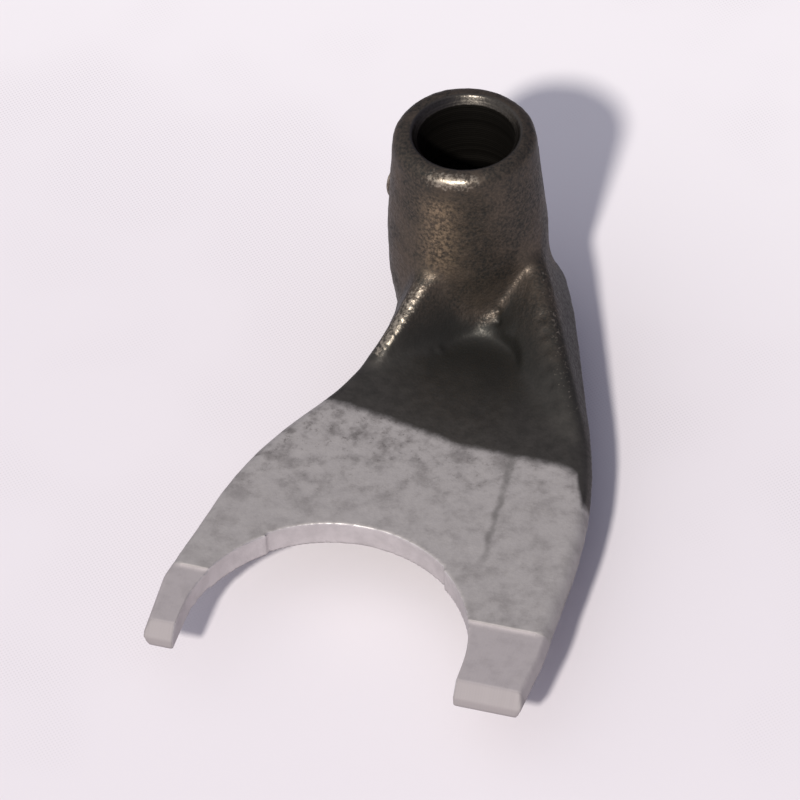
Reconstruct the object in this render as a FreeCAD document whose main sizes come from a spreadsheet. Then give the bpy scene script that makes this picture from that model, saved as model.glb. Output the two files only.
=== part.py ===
import FreeCAD, Part
import math
import os
import Sketcher

# Shift fork: a one-piece forged steel fork that moves a sliding gear.
# Z runs along the rail bore, the claw points to -Y, and z = 0 is the flat
# upper face of the arm and claw. Sizes are in millimetres and degrees.

NODE = "shift_fork"
V = FreeCAD.Vector
TOUCH = 1e-4
ALIKE = 0.03
STEEP = 0.5
CREST_LENGTH = 5.0

# TOUCH is the widest gap that counts as none, ALIKE the same between two
# directions, STEEP splits flat faces from side faces, and a rib's crest is
# longer than CREST_LENGTH.

# Each row: alias, value, what it is.
SIZES = [
    ("bore_radius", "6.0", "radius of the rail bore"),
    ("mouth_radius", "6.75", "outer radius of the bore mouth chamfer"),
    ("mouth_depth", "1.15", "axial depth of the bore mouth chamfer"),
    ("boss_top", "23.0", "upper end of the boss above the arm face"),
    ("boss_foot", "11.0", "lower end of the boss below the arm face"),
    ("boss_radius", "10.03", "largest radius of the boss, at its parting plane"),
    ("boss_shift", "0.22", "forged boss axis to the left of the bore axis"),
    ("band_low", "1.3", "lower end of the boss's straight band"),
    ("band_high", "7.8", "upper end of the boss's straight band"),
    ("draft_up", "4.6", "draft of the boss above the barrel curve"),
    ("draft_low", "6.0", "draft of the boss below the barrel curve"),
    ("rim_round", "1.6", "rounding of both boss rims"),
    ("thick", "3.56", "thickness of the arm and claw"),
    ("claw_reach", "63.76", "bore axis to claw centre"),
    ("claw_radius", "17.3", "inner radius of the claw"),
    ("relief_depth", "0.32", "depth of the forged middle of the claw arc"),
    ("relief_angle", "41.0", "half angle of the forged middle"),
    ("pad_start", "6.4", "step of the machined pads before the claw centre"),
    ("pad_step", "0.3", "depth of the machined pads, each face"),
    ("tip_end", "4.3", "finger ends past the claw centre"),
    ("tip_bevel", "1.6", "bevel of the finger ends, upper side"),
    ("side_draft", "22.0", "draft of the forged outline"),
    ("edge_round", "1.3", "rounding of the upper arm edges"),
    ("back_round", "1.0", "rounding of the lower arm edges"),
    ("neck_side", "7.6", "left side of the neck from the bore axis"),
    ("neck_end", "10.5", "end of the straight left neck"),
    ("splay_left", "29.0", "splay of the left arm side"),
    ("splay_radius", "33.0", "radius from the neck into the left side"),
    ("left_run", "5.0", "straight length of the left side"),
    ("left_turn", "45.0", "radius from the left side to the finger"),
    ("left_lean", "9.5", "lean of the left finger"),
    ("left_heel", "4.96", "widest place of the left finger, before the claw centre"),
    ("left_tip", "20.8", "outer side of the left finger end"),
    ("right_side", "26.2", "right side of the claw from the bore axis"),
    ("right_flat", "47.5", "end of the straight right side, along"),
    ("right_turn", "70.0", "radius from the right side up to the arm"),
    ("splay_right", "20.3", "splay of the right arm side"),
    ("right_run", "18.3", "straight length of the right arm side"),
    ("cheek_turn", "8.0", "radius of the right side where it joins the boss"),
    ("cheek_lean", "58.0", "splay of the right side where it ends in the boss"),
    ("cheek_back", "7.0", "right side ends this far behind the bore axis"),
    ("neck_turn", "75.0", "radius from the right arm side to the boss"),
    ("neck_right", "27.0", "splay of the right side at the boss"),
    ("right_heel", "3.26", "start of the right finger's taper, before the claw centre"),
    ("right_tip", "25.3", "outer side of the right finger end"),
    ("lrib_high", "12.5", "left rib height at its inner section"),
    ("lrib_start", "4.0", "left rib inner section, along"),
    ("lrib_toe", "21.5", "left rib toe, along"),
    ("lrib_dip", "0.52", "left rib toe below the arm face"),
    ("lrib_in", "1.57", "left rib crest edge at the inner section"),
    ("lrib_out", "6.94", "left rib crest edge at the toe"),
    ("lrib_slope", "55.0", "inner flank of the left rib"),
    ("rrib_high", "9.53", "right rib height at its inner section"),
    ("rrib_back", "2.0", "right rib inner section, behind the axis"),
    ("rrib_toe", "27.5", "right rib toe, along"),
    ("rrib_dip", "0.3", "right rib toe below the arm face"),
    ("rrib_in", "5.38", "right rib crest edge at the inner section"),
    ("rrib_out", "20.43", "right rib crest edge at the toe"),
    ("rrib_slope", "40.0", "inner flank of the right rib"),
    ("crest_round", "0.9", "rounding of the rib crests"),
    ("foot_round", "3.0", "fillet of the boss into the arm, upper side"),
    ("heel_round", "2.5", "fillet of the boss into the arm, lower side"),
    ("foot_sink", "0.4", "upper foot fillet inside the largest boss radius"),
    ("foot_root", "2.0", "width of the fillet rings inside the boss"),
    ("heel_sink", "1.15", "lower foot fillet inside the largest boss radius"),
    ("foot_left", "28.0", "left end of the boss foot fillet"),
    ("foot_right", "64.0", "right end of the boss foot fillet"),
    ("dish_across", "5.3", "centre of the arched recess, across"),
    ("dish_along", "16.7", "centre of the arched recess, along"),
    ("dish_radius", "5.7", "radius of the arched recess"),
    ("dish_depth", "0.9", "depth of the recess at its boss end"),
    ("dish_run", "26.5", "where the recess floor meets the arm face"),
    ("pin_radius", "3.5", "radius of the guide pin"),
    ("pin_reach", "14.2", "bore axis to the guide pin end"),
    ("pin_level", "5.0", "height of the guide pin axis"),
    ("pin_angle", "51.0", "guide pin direction, from +Y to -X"),
    ("pin_bevel", "0.4", "bevel of the guide pin end"),
    ("overrun", "1.0", "height of a cutter above the face that it starts from"),
    ("overcut", "8.0", "how far cutters reach past the metal"),
]

doc = FreeCAD.newDocument("shift_fork")
sheet = doc.addObject("Spreadsheet::Sheet", "Sizes")
for row, (alias, value, note) in enumerate(SIZES, start=1):
    sheet.set("A%d" % row, note)
    sheet.set("B%d" % row, value)
    sheet.setAlias("B%d" % row, alias)
doc.recompute()


def val(alias):
    """Present value of one size as a plain number."""
    return float(getattr(sheet, alias))


def bound(text):
    """Turn a formula over size names into one over the sheet's cells."""
    out = ""
    word = ""
    names = {row[0] for row in SIZES}
    for ch in text + " ":
        if ch.isalnum() or ch == "_":
            word += ch
            continue
        out += ("Sizes." + word) if word in names else word
        out += ch
        word = ""
    return out.strip()


def number(text):
    """Value of the same formula, for first positions in a sketch."""
    got = sheet.evalExpression(bound(text))
    return float(getattr(got, "Value", got))


def bind(obj, prop, text):
    """Tie a property to a formula over the sizes."""
    obj.setExpression(prop, bound(text))


def new_body(label):
    """An empty body of the document."""
    body = doc.addObject("PartDesign::Body", label)
    body.Label = label
    return body


def plane(body, role):
    """One of the body's own origin planes."""
    for feature in body.Origin.OriginFeatures:
        if feature.Role == role:
            return feature
    raise RuntimeError("no plane " + role)


def new_sketch(body, label, role, offset=None):
    """A sketch on an origin plane, shifted along the plane's normal."""
    sketch = body.newObject("Sketcher::SketchObject", label)
    sketch.AttachmentSupport = [(plane(body, role), "")]
    sketch.MapMode = "FlatFace"
    if offset is not None:
        bind(sketch, "AttachmentOffset.Base.z", offset)
    return sketch


def fix(sketch, geo, pos, px, py):
    """Hold one end of a curve at formulas measured from the origin."""
    at = sketch.addConstraint(
        Sketcher.Constraint("DistanceX", -1, 1, geo, pos, number(px)))
    bind(sketch, "Constraints[%d]" % at, px)
    at = sketch.addConstraint(
        Sketcher.Constraint("DistanceY", -1, 1, geo, pos, number(py)))
    bind(sketch, "Constraints[%d]" % at, py)


def polygon(sketch, corners):
    """Closed loop of straight lines through corners given as formulas."""
    spots = [V(number(px), number(py), 0) for px, py in corners]
    count = len(spots)
    for k in range(count):
        sketch.addGeometry(Part.LineSegment(spots[k], spots[(k + 1) % count]))
    for k in range(count):
        sketch.addConstraint(
            Sketcher.Constraint("Coincident", k, 2, (k + 1) % count, 1))
    for k, (px, py) in enumerate(corners):
        fix(sketch, k, 1, px, py)


def limit(sketch, kind, geo, text, angle=False):
    """A radius, length or angle of one curve, tied to a formula."""
    value = number(text)
    if angle:
        value = math.radians(value)
    at = sketch.addConstraint(Sketcher.Constraint(kind, geo, value))
    bind(sketch, "Constraints[%d]" % at, "(%s) * 1 deg" % text if angle else text)


def arc_ends(start, through, stop):
    """Sketch positions of an arc's first and last point, as drawn."""
    turn = (through - start).cross(stop - through).z
    return (1, 2) if turn > 0 else (2, 1)


def arm_outline(sketch):
    """Outline of the arm and claw at the parting plane, as tangent runs."""
    lean = math.radians(val("left_lean"))
    left = math.radians(val("splay_left"))
    right = math.radians(val("splay_right"))
    root = math.radians(val("neck_right"))
    end_y = number("-claw_reach - tip_end - thick")
    neck = V(number("-neck_side"), number("-neck_end"), 0)
    side_a = neck + swing(val("splay_radius"), 0, left, -1)
    side_m = neck + swing(val("splay_radius"), 0, left / 2, -1)
    side_b = side_a + heading(val("left_run"), left, -1)
    heel_a = side_b + swing(val("left_turn"), left, lean, -1)
    heel_m = side_b + swing(val("left_turn"), left, (left + lean) / 2, -1)
    drop = (heel_a.y + number("claw_reach - left_heel")) / math.cos(lean)
    heel_b = heel_a + heading(drop, lean, -1)
    flat = V(val("right_side"), number("-right_flat"), 0)
    knee = flat - swing(val("right_turn"), right, 0, 1)
    knee_m = flat - swing(val("right_turn"), right / 2, 0, 1)
    hip = knee - heading(val("right_run"), right, 1)
    root_a = hip - swing(val("neck_turn"), root, right, 1)
    root_m = hip - swing(val("neck_turn"), (root + right) / 2, right, 1)
    cheek = math.radians(val("cheek_lean"))
    cheek_a = root_a - swing(val("cheek_turn"), cheek, root, 1)
    cheek_m = root_a - swing(val("cheek_turn"), (cheek + root) / 2, root, 1)
    back = cheek_a - heading((val("cheek_back") - cheek_a.y) / math.cos(cheek), cheek, 1)
    points = [
        V(neck.x, 0, 0), neck, side_a, side_b, heel_a, heel_b,
        V(number("-left_tip"), end_y, 0), V(val("right_tip"), end_y, 0),
        V(flat.x, number("right_heel - claw_reach"), 0), flat, knee, hip, root_a,
        cheek_a, back,
    ]
    arcs = {1: side_m, 3: heel_m, 9: knee_m, 11: root_m, 12: cheek_m}
    count = len(points)
    for k in range(count):
        start, stop = points[k], points[(k + 1) % count]
        if k in arcs:
            sketch.addGeometry(Part.Arc(start, arcs[k], stop))
        else:
            sketch.addGeometry(Part.LineSegment(start, stop))
    ends = {k: (1, 2) for k in range(count)}
    for k, through in arcs.items():
        ends[k] = arc_ends(points[k], through, points[k + 1])
    smooth = {1, 2, 3, 4, 9, 10, 11, 12, 13}
    for k in range(count):
        after = (k + 1) % count
        kind = "Tangent" if after in smooth else "Coincident"
        sketch.addConstraint(
            Sketcher.Constraint(kind, k, ends[k][1], after, ends[after][0]))
    sketch.addConstraint(Sketcher.Constraint("Vertical", 0))
    sketch.addConstraint(Sketcher.Constraint("Horizontal", 6))
    sketch.addConstraint(Sketcher.Constraint("Vertical", 8))
    fix(sketch, 0, 1, "-neck_side", "0")
    hold_y(sketch, 0, 2, "-neck_end")
    limit(sketch, "Radius", 1, "splay_radius")
    limit(sketch, "Angle", 2, "270 - splay_left", True)
    limit(sketch, "Distance", 2, "left_run")
    limit(sketch, "Radius", 3, "left_turn")
    limit(sketch, "Angle", 4, "270 - left_lean", True)
    hold_y(sketch, 4, 2, "left_heel - claw_reach")
    fix(sketch, 6, 1, "-left_tip", "-claw_reach - tip_end - thick")
    hold_x(sketch, 6, 2, "right_tip")
    hold_y(sketch, 7, 2, "right_heel - claw_reach")
    fix(sketch, 8, 2, "right_side", "-right_flat")
    limit(sketch, "Radius", 9, "right_turn")
    limit(sketch, "Angle", 10, "90 + splay_right", True)
    limit(sketch, "Distance", 10, "right_run")
    limit(sketch, "Radius", 11, "neck_turn")
    limit(sketch, "Radius", 12, "cheek_turn")
    limit(sketch, "Angle", 13, "90 + cheek_lean", True)
    hold_y(sketch, 13, 2, "cheek_back")


def heading(length, lean, side):
    """Straight step towards the claw, leaning out to one side."""
    return V(side * length * math.sin(lean), -length * math.cos(lean), 0)


def swing(radius, before, after, side):
    """Step along an arc between two leans, towards the claw."""
    turn = 1 if after > before else -1
    across = turn * radius * (math.cos(before) - math.cos(after))
    along = turn * radius * (math.sin(after) - math.sin(before))
    return V(side * across, -along, 0)


def hold_x(sketch, geo, pos, text):
    """Hold one end of a curve at a distance across from the origin."""
    at = sketch.addConstraint(
        Sketcher.Constraint("DistanceX", -1, 1, geo, pos, number(text)))
    bind(sketch, "Constraints[%d]" % at, text)


def hold_y(sketch, geo, pos, text):
    """Hold one end of a curve at a distance along from the origin."""
    at = sketch.addConstraint(
        Sketcher.Constraint("DistanceY", -1, 1, geo, pos, number(text)))
    bind(sketch, "Constraints[%d]" % at, text)


def pad(body, label, sketch, length, down=False):
    """Pad a sketch by a formula."""
    feature = body.newObject("PartDesign::Pad", label)
    feature.Profile = sketch
    feature.Reversed = down
    bind(feature, "Length", length)
    body.Tip = feature
    return feature


def pocket(body, label, sketch, length, up=False):
    """Cut a sketch down, or up, by a formula."""
    before = body.Shape.Volume
    feature = body.newObject("PartDesign::Pocket", label)
    feature.Profile = sketch
    feature.Reversed = up
    bind(feature, "Length", length)
    body.Tip = feature
    doc.recompute()
    if not feature.Shape.Volume < before - TOUCH:
        raise RuntimeError(label + " removes nothing")
    return feature


def edges_where(shape, test):
    """Names of the edges whose middle point and curve pass a test."""
    names = []
    for k, edge in enumerate(shape.Edges, start=1):
        if edge.Length < TOUCH:
            continue
        middle = edge.valueAt((edge.FirstParameter + edge.LastParameter) / 2)
        if test(edge, middle):
            names.append("Edge%d" % k)
    return names


def solid_of(obj):
    """Check that a feature came out as one valid solid."""
    doc.recompute()
    shape = obj.Shape
    state = [word for word in obj.State if word in ("Invalid", "Error")]
    if state or shape.isNull() or not shape.isValid() or len(shape.Solids) != 1:
        raise RuntimeError("%s: %s, solids %d" % (
            obj.Label, obj.State, 0 if shape.isNull() else len(shape.Solids)))
    return obj


def boss_blank():
    """Barrel boss with drafted ends and rounded rims, turned about Z."""
    body = new_body("Boss")
    sketch = new_sketch(body, "BossProfile", "XZ_Plane")
    up = math.radians(val("draft_up"))
    low = math.radians(val("draft_low"))
    big, top, foot = val("boss_radius"), val("boss_top"), -val("boss_foot")
    high = V(big, val("band_high"), 0)
    deep = V(big, val("band_low"), 0)
    rim = V(high.x - (top - high.y) * math.tan(up), top, 0)
    base = V(deep.x - (deep.y - foot) * math.tan(low), foot, 0)
    sketch.addGeometry(Part.LineSegment(V(0, foot, 0), base))
    sketch.addGeometry(Part.LineSegment(base, deep))
    sketch.addGeometry(Part.LineSegment(deep, high))
    sketch.addGeometry(Part.LineSegment(high, rim))
    sketch.addGeometry(Part.LineSegment(rim, V(0, top, 0)))
    sketch.addGeometry(Part.LineSegment(V(0, top, 0), V(0, foot, 0)))
    add = sketch.addConstraint
    for k in range(6):
        add(Sketcher.Constraint("Coincident", k, 2, (k + 1) % 6, 1))
    add(Sketcher.Constraint("Horizontal", 0))
    add(Sketcher.Constraint("Horizontal", 4))
    fix(sketch, 4, 2, "0", "boss_top")
    fix(sketch, 0, 1, "0", "-boss_foot")
    fix(sketch, 2, 1, "boss_radius", "band_low")
    fix(sketch, 2, 2, "boss_radius", "band_high")
    limit(sketch, "Angle", 1, "90 - draft_low", True)
    limit(sketch, "Angle", 3, "90 + draft_up", True)
    turn = body.newObject("PartDesign::Revolution", "BossTurn")
    turn.Profile = sketch
    turn.ReferenceAxis = (sketch, ["V_Axis"])
    turn.Angle = 360
    body.Tip = turn
    solid_of(turn)
    rims = edges_where(turn.Shape, lambda edge, mid: edge.isClosed()
                       and min(abs(mid.z - top), abs(mid.z - foot)) < TOUCH)
    rounds = body.newObject("PartDesign::Fillet", "BossRims")
    rounds.Base = (turn, rims)
    bind(rounds, "Radius", "rim_round")
    body.Tip = rounds
    bind(body, "Placement.Base.x", "-boss_shift")
    return solid_of(body)


def arm_prism(label, length, down):
    """Drafted prism of the arm outline, up or down from the parting plane."""
    body = new_body(label)
    sketch = new_sketch(body, label + "Outline", "XY_Plane", "-thick / 2")
    arm_outline(sketch)
    doc.recompute()
    pad(body, label + "Pad", sketch, length, down)
    doc.recompute()
    straight = body.Tip
    parting, sides = parting_and_sides(straight.Shape)
    draft = body.newObject("PartDesign::Draft", label + "Draft")
    draft.Base = (straight, sides)
    draft.NeutralPlane = (straight, [parting])
    bind(draft, "Angle", "side_draft")
    draft.Reversed = down
    body.Tip = draft
    return solid_of(body)


def parting_and_sides(shape):
    """Face in the parting plane, and the side faces that take the draft."""
    level = -val("thick") / 2
    parting = None
    sides = []
    for index, face in enumerate(shape.Faces, start=1):
        name = "Face%d" % index
        across, along = face.Surface.parameter(face.CenterOfMass)
        way = face.normalAt(across, along)
        inside_boss = way.y > STEEP and face.Surface.TypeId == "Part::GeomPlane"
        if abs(way.z) < STEEP and not inside_boss:
            sides.append(name)
        elif abs(face.CenterOfMass.z - level) < TOUCH and abs(way.z) > STEEP:
            parting = name
    return parting, sides


def blade(label, inner, outer):
    """Wedge that leaves a rib between the outline and its inner flank."""
    body = new_body(label)
    first = new_sketch(body, label + "Inner", "XZ_Plane", inner[0])
    polygon(first, inner[1])
    second = new_sketch(body, label + "Toe", "XZ_Plane", outer[0])
    polygon(second, outer[1])
    loft = body.newObject("PartDesign::AdditiveLoft", label + "Loft")
    loft.Profile = first
    loft.Sections = [second]
    loft.Ruled = True
    body.Tip = loft
    return solid_of(body)


def left_blade():
    """Blade of the left rib, falling from the boss to its toe."""
    tan = "tan(lrib_slope * 1 deg)"
    far = "-left_tip - overcut"
    low = "-overrun"
    inner = [(far, low), (far, "lrib_high"), ("lrib_in", "lrib_high"),
             ("lrib_in + (lrib_high + overrun) / " + tan, low)]
    toe = [(far, low), (far, "-lrib_dip"), ("-lrib_out", "-lrib_dip"),
           ("-lrib_out + (overrun - lrib_dip) / " + tan, low)]
    return blade("LeftRib", ("lrib_start", inner), ("lrib_toe", toe))


def right_blade():
    """Blade of the right rib, lower and longer, with a shallow flank."""
    tan = "tan(rrib_slope * 1 deg)"
    far = "right_tip + overcut"
    low = "-overrun"
    inner = [(far, low), (far, "rrib_high"), ("rrib_in", "rrib_high"),
             ("rrib_in - (rrib_high + overrun) / " + tan, low)]
    toe = [(far, low), (far, "-rrib_dip"), ("rrib_out", "-rrib_dip"),
           ("rrib_out - (overrun - rrib_dip) / " + tan, low)]
    return blade("RightRib", ("-rrib_back", inner), ("rrib_toe", toe))


def foot_fillet(label, radius, level, sunk, down):
    """Fillet ring of the boss into the arm, over the arm's own sector."""
    body = new_body(label)
    sketch = new_sketch(body, label + "Profile", "XZ_Plane")
    rim = "boss_radius - " + sunk
    reach = number(rim)
    size = val(radius)
    base = number(level)
    way = -1 if down else 1
    corner = V(reach, base, 0)
    crown = V(reach, base + way * size, 0)
    toe = V(reach + size, base, 0)
    hub = V(reach + size, base + way * size, 0)
    bend = hub + V(-size / math.sqrt(2), -way * size / math.sqrt(2), 0)
    root, deep = val("foot_root"), way * val("overrun")
    inside = V(reach - root, base - deep, 0)
    sketch.addGeometry(Part.Arc(crown, bend, toe))
    ends = arc_ends(crown, bend, toe)
    sketch.addGeometry(Part.LineSegment(toe, toe + V(0, -deep, 0)))
    sketch.addGeometry(Part.LineSegment(toe + V(0, -deep, 0), inside))
    sketch.addGeometry(Part.LineSegment(inside, crown + V(-root, 0, 0)))
    sketch.addGeometry(Part.LineSegment(crown + V(-root, 0, 0), crown))
    add = sketch.addConstraint
    add(Sketcher.Constraint("Coincident", 0, ends[1], 1, 1))
    for k in (1, 2, 3):
        add(Sketcher.Constraint("Coincident", k, 2, k + 1, 1))
    add(Sketcher.Constraint("Coincident", 4, 2, 0, ends[0]))
    sign = "-" if down else "+"
    counter = "+" if down else "-"
    fix(sketch, 0, ends[0], rim, "%s %s %s" % (level, sign, radius))
    fix(sketch, 0, ends[1], "%s + %s" % (rim, radius), level)
    limit(sketch, "Radius", 0, radius)
    fix(sketch, 1, 2, "%s + %s" % (rim, radius), "%s %s overrun" % (level, counter))
    fix(sketch, 2, 2, rim + " - foot_root", "%s %s overrun" % (level, counter))
    fix(sketch, 3, 2, rim + " - foot_root", "%s %s %s" % (level, sign, radius))
    turn = body.newObject("PartDesign::Revolution", label + "Turn")
    turn.Profile = sketch
    turn.ReferenceAxis = (sketch, ["V_Axis"])
    bind(turn, "Angle", "foot_left + foot_right")
    body.Tip = turn
    bind(body, "Placement.Rotation.Angle", "-(90 + foot_left) * 1 deg")
    body.Placement.Rotation = FreeCAD.Rotation(V(0, 0, 1), -90 - val("foot_left"))
    return solid_of(body)


def guide_pin():
    """Round guide pin that stands out of the back of the boss."""
    body = new_body("GuidePin")
    sketch = new_sketch(body, "PinProfile", "YZ_Plane")
    sketch.addGeometry(Part.Circle(V(0, 0, 0), V(0, 0, 1), val("pin_radius")))
    sketch.addConstraint(Sketcher.Constraint("Coincident", 0, 3, -1, 1))
    limit(sketch, "Radius", 0, "pin_radius")
    shaft = pad(body, "PinShaft", sketch, "pin_reach")
    solid_of(shaft)
    end = val("pin_reach")
    rim = edges_where(shaft.Shape, lambda edge, mid: edge.isClosed()
                      and abs(mid.x - end) < TOUCH)
    bevel = body.newObject("PartDesign::Chamfer", "PinBevel")
    bevel.Base = (shaft, rim)
    bind(bevel, "Size", "pin_bevel")
    body.Tip = bevel
    body.Placement = FreeCAD.Placement(
        V(0, 0, val("pin_level")), FreeCAD.Rotation(V(0, 0, 1), 90 + val("pin_angle")))
    bind(body, "Placement.Base.z", "pin_level")
    bind(body, "Placement.Rotation.Angle", "(90 + pin_angle) * 1 deg")
    return solid_of(body)


def bore_cutter():
    """Rail bore with a steep chamfer at both mouths."""
    body = new_body("BoreCutter")
    sketch = new_sketch(body, "BoreProfile", "XZ_Plane")
    polygon(sketch, [
        ("0", "-boss_foot - overcut"),
        ("mouth_radius", "-boss_foot - overcut"),
        ("mouth_radius", "-boss_foot"),
        ("bore_radius", "-boss_foot + mouth_depth"),
        ("bore_radius", "boss_top - mouth_depth"),
        ("mouth_radius", "boss_top"),
        ("mouth_radius", "boss_top + overcut"),
        ("0", "boss_top + overcut"),
    ])
    turn = body.newObject("PartDesign::Revolution", "BoreTurn")
    turn.Profile = sketch
    turn.ReferenceAxis = (sketch, ["V_Axis"])
    turn.Angle = 360
    body.Tip = turn
    return solid_of(body)


def dish_cutter():
    """Arched recess whose floor rises from the boss out to the arm face."""
    plan = new_body("DishPlan")
    sketch = new_sketch(plan, "DishArch", "XY_Plane", "-thick / 2")
    arch(sketch, "dish_across", "-dish_along", "dish_radius", "-dish_run - 2 * overrun")
    pad(plan, "DishArchPad", sketch, "thick + overcut")
    solid_of(plan)
    side = new_body("DishSide")
    slope = new_sketch(side, "DishSlope", "YZ_Plane", "-overcut")
    polygon(slope, [
        ("-dish_along + dish_radius + overrun", "-dish_depth"),
        ("-dish_run", "0"),
        ("-dish_run", "overcut"),
        ("-dish_along + dish_radius + overrun", "overcut"),
    ])
    pad(side, "DishSlopePad", slope, "2 * overcut + dish_across + dish_radius")
    solid_of(side)
    cutter = doc.addObject("Part::Common", "Dish")
    cutter.Base = plan
    cutter.Tool = side
    return solid_of(cutter)


def arch(sketch, px, py, radius, far):
    """Half circle over straight sides, closed by a line at y = far."""
    cx, cy, size, end = number(px), number(py), number(radius), number(far)
    sketch.addGeometry(Part.Arc(V(cx + size, cy, 0), V(cx, cy + size, 0), V(cx - size, cy, 0)))
    sketch.addGeometry(Part.LineSegment(V(cx - size, cy, 0), V(cx - size, end, 0)))
    sketch.addGeometry(Part.LineSegment(V(cx - size, end, 0), V(cx + size, end, 0)))
    sketch.addGeometry(Part.LineSegment(V(cx + size, end, 0), V(cx + size, cy, 0)))
    add = sketch.addConstraint
    add(Sketcher.Constraint("Tangent", 0, 2, 1, 1))
    add(Sketcher.Constraint("Coincident", 1, 2, 2, 1))
    add(Sketcher.Constraint("Coincident", 2, 2, 3, 1))
    add(Sketcher.Constraint("Tangent", 3, 2, 0, 1))
    add(Sketcher.Constraint("Vertical", 1))
    add(Sketcher.Constraint("Horizontal", 2))
    fix(sketch, 0, 3, px, py)
    limit(sketch, "Radius", 0, radius)
    hold_y(sketch, 2, 2, far)


def arm_blank():
    """Arm with its two ribs: outline prisms cut to the rib wedges."""
    upper = arm_prism("ArmUpper", "thick / 2 + lrib_high", False)
    lower = arm_prism("ArmLower", "thick / 2", True)
    slab = doc.addObject("Part::Box", "FaceSlab")
    bind(slab, "Length", "left_tip + right_tip + 2 * overcut")
    bind(slab, "Width", "claw_reach + tip_end + boss_radius + 2 * overcut")
    bind(slab, "Height", "thick / 2 + overrun")
    bind(slab, "Placement.Base.x", "-left_tip - overcut")
    bind(slab, "Placement.Base.y", "-claw_reach - tip_end - overcut")
    bind(slab, "Placement.Base.z", "-thick / 2 - overrun")
    wedges = doc.addObject("Part::MultiFuse", "ArmTop")
    wedges.Shapes = [solid_of(slab), left_blade(), right_blade()]
    solid_of(wedges)
    trimmed = doc.addObject("Part::Common", "ArmTrimmed")
    trimmed.Base = upper
    trimmed.Tool = wedges
    solid_of(trimmed)
    arm = doc.addObject("Part::Fuse", "ArmBlank")
    arm.Base = trimmed
    arm.Tool = lower
    return solid_of(arm)


def side_normals(shape, edge, middle):
    """Outward normals of the faces that meet at an edge."""
    normals = []
    for face in shape.ancestorsOfType(edge, Part.Face):
        across, along = face.Surface.parameter(middle)
        normals.append(face.normalAt(across, along))
    return normals


def started_body(label, blank):
    """A body whose first feature is a finished blank."""
    body = new_body(label)
    body.BaseFeature = blank
    doc.recompute()
    return body


def dress(body, kind, label, names, size):
    """Round or bevel named edges of a body's last feature."""
    last = body.Tip or body.Group[0]
    feature = body.newObject("PartDesign::" + kind, label)
    feature.Base = (last, names)
    bind(feature, "Radius" if kind == "Fillet" else "Size", size)
    body.Tip = feature
    return solid_of(feature)


def forged_arm(blank):
    """Rounded forging edges: outline above, rib crests, outline below."""
    body = started_body("ArmForged", blank)
    flank = math.sin(math.radians(val("side_draft")))
    hub = val("boss_radius")

    def outside(mid):
        return mid.y < 0 and math.hypot(mid.x, mid.y) > hub

    def upper(edge, mid):
        ways = side_normals(body.Shape, edge, mid)
        sides = [n for n in ways if abs(abs(n.z) - flank) < ALIKE]
        tops = [n for n in ways if n.z > STEEP]
        return mid.z > -0.1 and outside(mid) and len(sides) == 1 and len(tops) == 1

    def crest(edge, mid):
        ways = side_normals(body.Shape, edge, mid)
        return mid.z > 0.3 and outside(mid) and all(
            0.3 < n.z < 0.995 for n in ways) and edge.Length > CREST_LENGTH

    def lower(edge, mid):
        ways = side_normals(body.Shape, edge, mid)
        return outside(mid) and any(n.z < -0.9 for n in ways) and any(
            abs(abs(n.z) - flank) < ALIKE for n in ways)

    names = edges_where(body.Shape, upper)
    dress(body, "Fillet", "OutlineRound", names, "edge_round")
    names = edges_where(body.Shape, crest)
    dress(body, "Fillet", "CrestRound", names, "crest_round")
    names = edges_where(body.Shape, lower)
    dress(body, "Fillet", "BackRound", names, "back_round")
    return solid_of(body)


def block(sketch, near, far):
    """Rectangle over the whole width of the claw, between two lines."""
    left = "-left_tip - overcut"
    right = "right_tip + overcut"
    polygon(sketch, [(left, near), (right, near), (right, far), (left, far)])


def machined_claw(blank):
    """Claw opening, its relieved middle, pads, trimmed and bevelled ends."""
    body = started_body("ShiftFork", blank)
    far = "-claw_reach - tip_end - overcut"
    sketch = new_sketch(body, "ClawArch", "XY_Plane", "overrun")
    arch(sketch, "0", "-claw_reach", "claw_radius", far)
    pocket(body, "ClawOpening", sketch, "thick + 2 * overrun")
    sketch = new_sketch(body, "ReliefArc", "XY_Plane", "overrun")
    relief(sketch)
    pocket(body, "ClawRelief", sketch, "thick + 2 * overrun")
    start = "-claw_reach + pad_start"
    sketch = new_sketch(body, "PadUpper", "XY_Plane")
    block(sketch, start, far)
    pocket(body, "PadCutUpper", sketch, "pad_step")
    sketch = new_sketch(body, "PadLower", "XY_Plane", "-thick")
    block(sketch, start, far)
    pocket(body, "PadCutLower", sketch, "pad_step", True)
    sketch = new_sketch(body, "TipLine", "XY_Plane", "overrun")
    block(sketch, "-claw_reach - tip_end", far)
    pocket(body, "TipTrim", sketch, "thick + 2 * overrun")
    end = number("-claw_reach - tip_end")
    face = -val("pad_step")
    names = edges_where(body.Shape, lambda edge, mid: abs(mid.y - end) < TOUCH
                        and abs(mid.z - face) < TOUCH)
    dress(body, "Chamfer", "TipBevel", names, "tip_bevel")
    return solid_of(body)


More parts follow.
